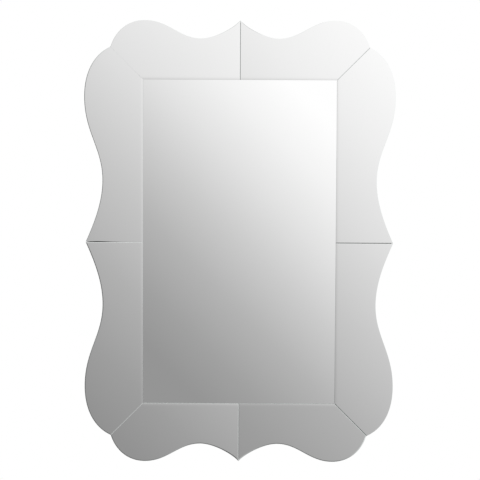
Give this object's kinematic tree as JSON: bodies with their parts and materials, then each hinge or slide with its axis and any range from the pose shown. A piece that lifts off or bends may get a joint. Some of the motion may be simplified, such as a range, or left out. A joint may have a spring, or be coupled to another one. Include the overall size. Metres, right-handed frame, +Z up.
{
  "type": "wall mirror",
  "caption": "Frameless wall mirror: a rectangular mirror plate inside a wide scalloped border of mirror plates on a backing board, with keyhole hangers in the flat back.",
  "frame": {"origin": "middle of the board's flat back, on the wall", "axes": "+X to the right as seen from the front, +Y into the wall, +Z up"},
  "size_m": [0.7112, 0.0209, 1.016],
  "materials": {
    "mirror_plate": "silvered on the back, polished, with a ground arris on the front edge",
    "board": "fibreboard painted matt black",
    "hanger": "zinc-plated sheet steel",
    "screw": "yellow-passivated zinc"
  },
  "bodies": {
    "root": {"backing_board": "board", "centre_plate": "mirror_plate", "plate_left_lower": "mirror_plate", "plate_left_upper": "mirror_plate", "plate_right_lower": "mirror_plate", "plate_right_upper": "mirror_plate", "plate_bottom_left": "mirror_plate", "plate_bottom_right": "mirror_plate", "plate_top_left": "mirror_plate", "plate_top_right": "mirror_plate", "hanger_left": "hanger", "hanger_right": "hanger", "screw_left_lower": "screw", "screw_left_upper": "screw", "screw_right_lower": "screw", "screw_right_upper": "screw"}
  },
  "joints": []
}
